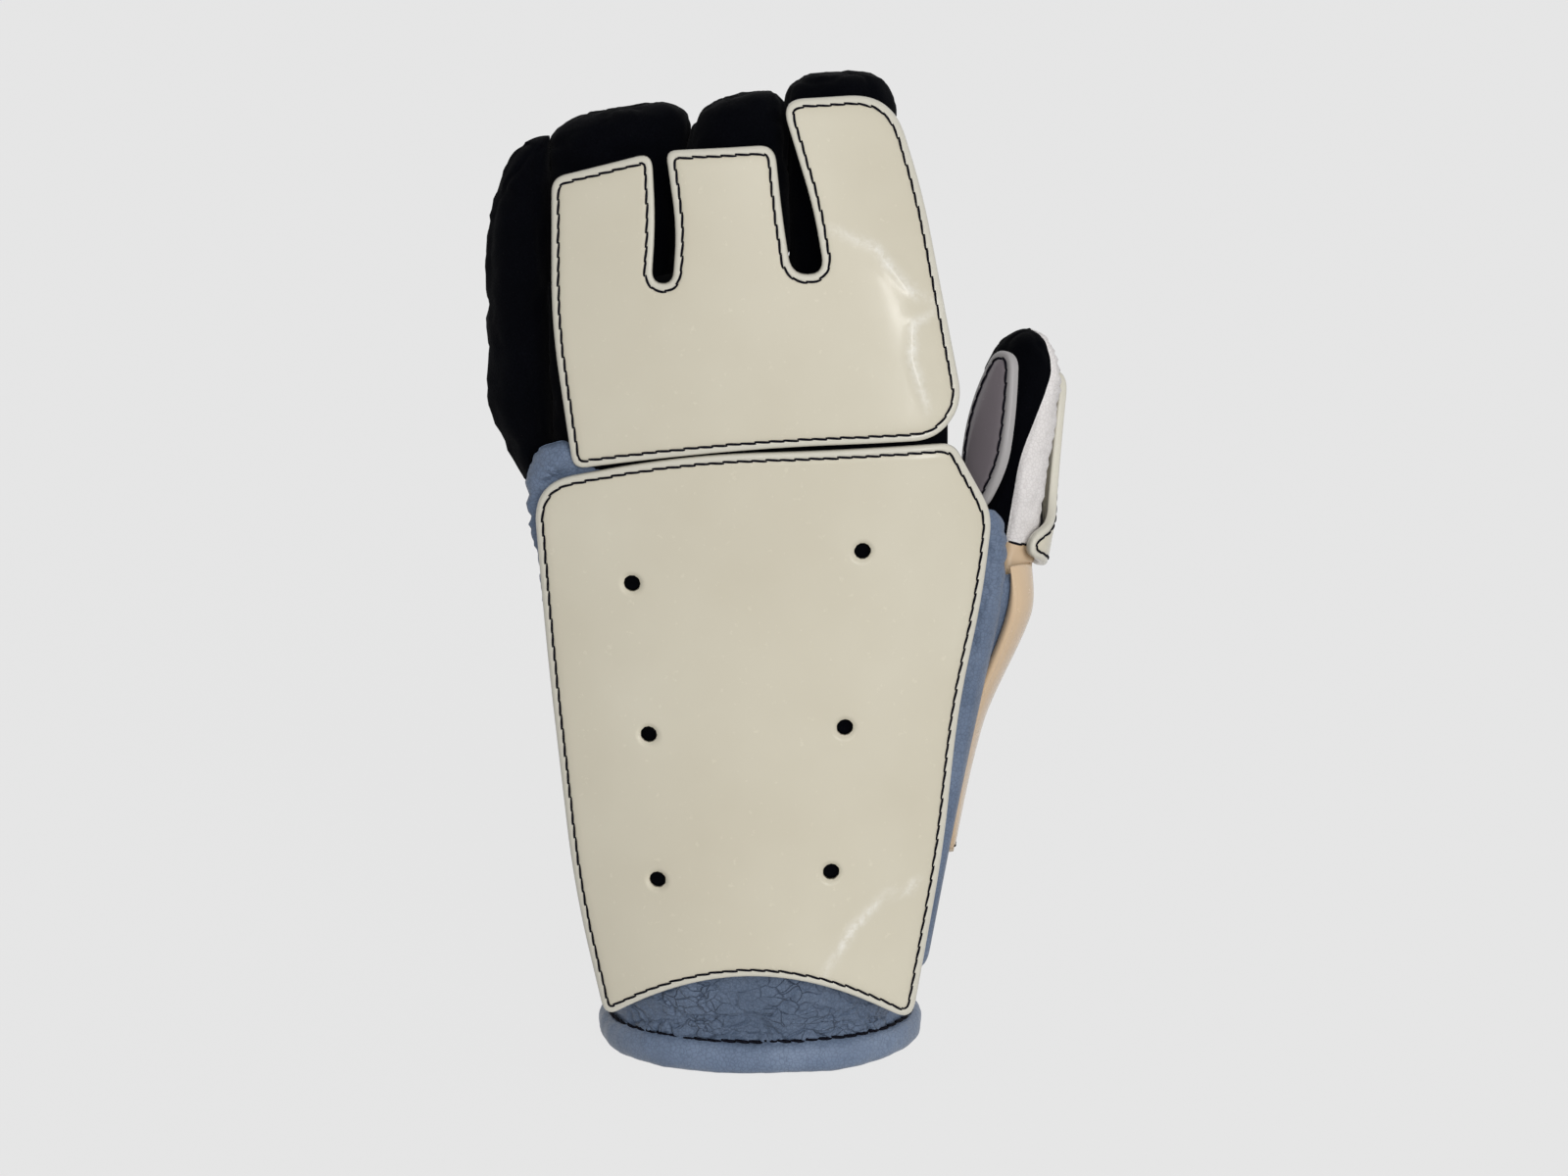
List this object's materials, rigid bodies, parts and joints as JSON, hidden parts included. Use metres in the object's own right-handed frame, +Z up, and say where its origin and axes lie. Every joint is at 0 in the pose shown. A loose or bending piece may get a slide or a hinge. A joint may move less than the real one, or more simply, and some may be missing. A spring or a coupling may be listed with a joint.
{
  "type": "plated goalkeeper glove",
  "caption": "Left-hand protective glove standing on a wide open cuff, with moulded plates over the fingers, the back of the hand, the thumb and the wrist side, and a hook-and-loop wrist strap.",
  "frame": {"origin": "on the ground under the middle of the glove, which stands on its cuff rim", "axes": "+Z up from the cuff to the fingertips, -Y the way the back of the hand faces, +X the thumb side"},
  "size_m": [0.1748, 0.089, 0.3],
  "materials": {
    "plate": "cream moulded plate, satin gloss",
    "tan_plate": "tan moulded plate, satin",
    "blue_leather": "crinkled blue leather",
    "black_suede": "black suede",
    "white_leather": "white grained leather",
    "foam": "grey felted padding",
    "lining": "dark woven lining",
    "webbing": "black hook-and-loop tape"
  },
  "bodies": {
    "cuff": {"back_plate": "plate", "back_pad_cover": "blue_leather", "back_pad_foam": "foam", "cuff_front_panel": "blue_leather", "cuff_left_panel": "blue_leather", "cuff_right_panel": "blue_leather", "cuff_palm_panel": "blue_leather", "palm_panel": "white_leather", "cuff_lining": "lining", "wrist_side_plate": "tan_plate", "cuff_binding": "blue_leather", "hem_cord": "foam", "knuckle_gusset": "black_suede", "palm_crease": "white_leather", "little_finger_crease": "black_suede", "crotch_panel": "black_suede", "strap_loop_patch": "webbing", "strap_anchor_tab": "white_leather"},
    "fingers": {"finger_plate": "plate", "finger_pad_foam": "foam", "finger_back_panel": "black_suede", "finger_side_panel": "black_suede", "finger_palm_panel": "white_leather", "ring_stall": "black_suede", "middle_stall": "black_suede", "index_stall": "black_suede", "ring_palm": "white_leather", "middle_palm": "white_leather", "index_palm": "white_leather"},
    "little_finger": {"little_finger_stall": "black_suede", "little_finger_palm": "white_leather"},
    "thumb": {"thumb_stall": "black_suede", "thumb_palm": "white_leather", "thumb_inner_plate": "plate", "thumb_inner_foam": "foam", "thumb_outer_plate": "plate", "thumb_outer_foam": "foam"},
    "strap": {"wrist_strap": "white_leather", "strap_hook_patch": "webbing", "strap_pull_tab": "black_suede"}
  },
  "joints": [
    {"name": "knuckle_flex", "type": "hinge", "parent": "cuff", "child": "fingers", "pos_m": [-0.00685, -0.0087, 0.187], "axis": [-1, 0, 0], "range_deg": [0, 38], "deforming": ["palm_crease"]},
    {"name": "little_finger_flex", "type": "hinge", "parent": "cuff", "child": "little_finger", "pos_m": [-0.07825, -0.0087, 0.187], "axis": [-1, 0, 0], "range_deg": [0, 38], "deforming": ["little_finger_crease"]},
    {"name": "thumb_swing", "type": "hinge", "parent": "cuff", "child": "thumb", "pos_m": [0.07668, 0.02179, 0.15162], "axis": [-0.5995, 0.7994, 0.0406], "range_deg": [0, 30]},
    {"name": "strap_open", "type": "hinge", "parent": "cuff", "child": "strap", "pos_m": [0.03907, 0.03394, 0.076], "axis": [-0.2139, 0.0787, -0.9737], "range_deg": [0, 110]}
  ]
}
